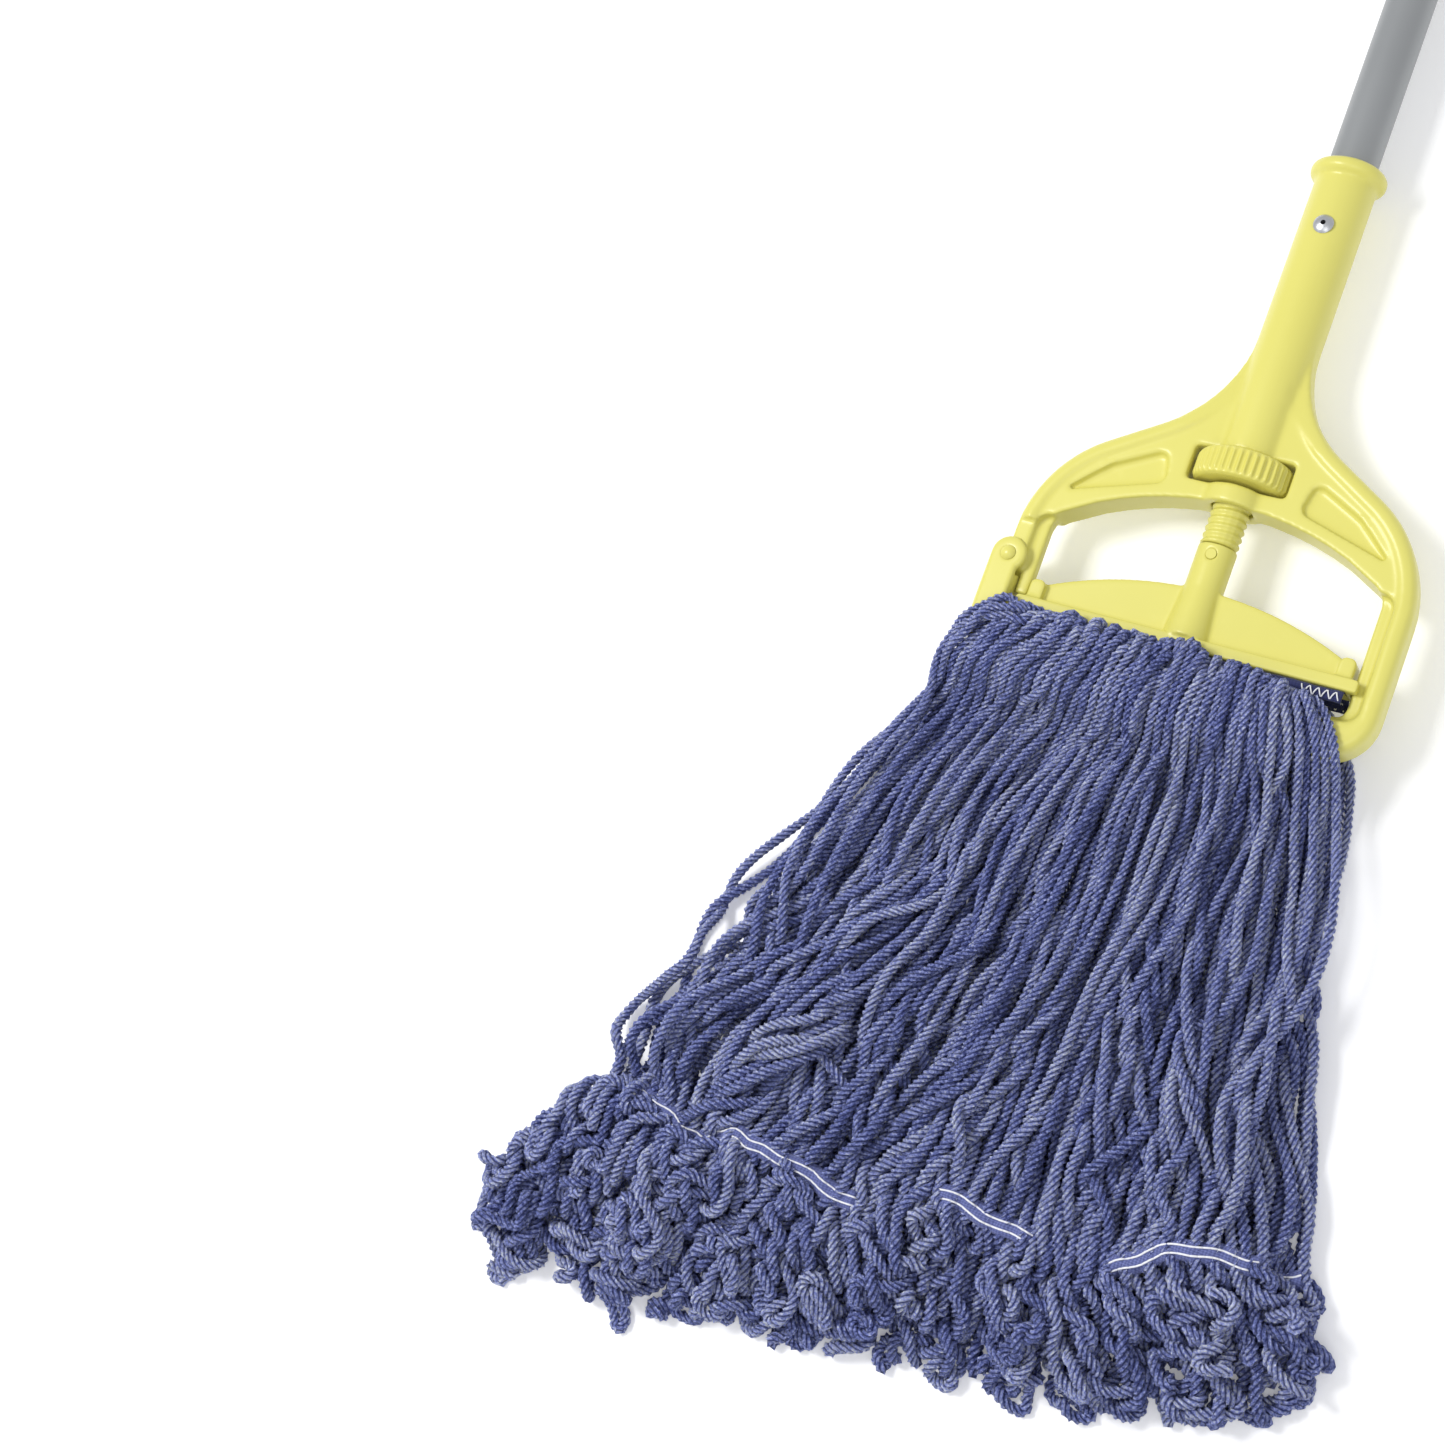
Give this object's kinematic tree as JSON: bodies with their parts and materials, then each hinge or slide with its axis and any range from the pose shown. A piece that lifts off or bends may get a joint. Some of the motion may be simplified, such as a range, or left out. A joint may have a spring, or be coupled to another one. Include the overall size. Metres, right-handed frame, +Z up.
{
  "type": "string mop",
  "caption": "String mop with a looped-end yarn head held in a side-gate plastic clamp on a tubular metal handle, lying on the floor.",
  "frame": {"origin": "on the floor, under the middle of the line where the clamp bar grips the mop head", "axes": "+Z up from the floor; +Y from the mop head along the floor towards the far end of the handle; +X to the right of the holder seen from above with the handle pointing away"},
  "size_m": [0.4436, 1.904, 0.0575],
  "materials": {
    "yoke_plastic": "moulded, soft satin, pale yellow",
    "wheel_plastic": "moulded, soft satin, pale yellow",
    "screw_plastic": "moulded, soft satin, pale yellow",
    "handle_metal": "grey satin coated tube",
    "cap_plastic": "dark grey moulded",
    "rivet_steel": "pressed, satin",
    "mandrel_steel": "dull, dark",
    "yarn": "four-ply twisted blended yarn, fuzzy, heathered blue",
    "tape": "woven polyester tape, dark blue",
    "thread": "white sewing thread"
  },
  "bodies": {
    "holder": {"yoke": "yoke_plastic", "gate_hinge_pin": "screw_plastic", "socket_rivets": "rivet_steel", "rivet_mandrels": "mandrel_steel", "handle_tube": "handle_metal", "handle_end_cap": "cap_plastic", "headband": "tape", "headband_stitches": "thread", "yarn_core": "yarn", "yarn_front": "yarn", "yarn_back": "yarn", "fringe_front": "yarn", "fringe_back": "yarn", "tail_band_front": "tape", "tail_band_back": "tape", "tail_stitches_front": "thread", "tail_stitches_back": "thread"},
    "gate": {"gate": "yoke_plastic"},
    "wheel": {"thumb_wheel": "wheel_plastic"},
    "clamp": {"clamp_screw": "screw_plastic", "clamp_bar": "screw_plastic", "screw_cross_pin": "screw_plastic"}
  },
  "joints": [
    {"name": "gate_swing", "type": "hinge", "parent": "holder", "child": "gate", "pos_m": [-0.1015, 0.026, 0.0317], "axis": [0, -0.0114, -0.9999], "range_deg": [0, 95]},
    {"name": "wheel_spin", "type": "hinge", "parent": "holder", "child": "wheel", "pos_m": [0, 0, 0.032], "axis": [0, -0.9999, 0.0114], "range_deg": [0, 1600]},
    {"name": "clamp_slide", "type": "slide", "parent": "holder", "child": "clamp", "axis": [0, 0.9999, -0.0114], "range_m": [0, 0.018]}
  ],
  "couplings": [
    {"joint": "clamp_slide", "follows": "wheel_spin", "m_per_rad": 0.00063662}
  ]
}
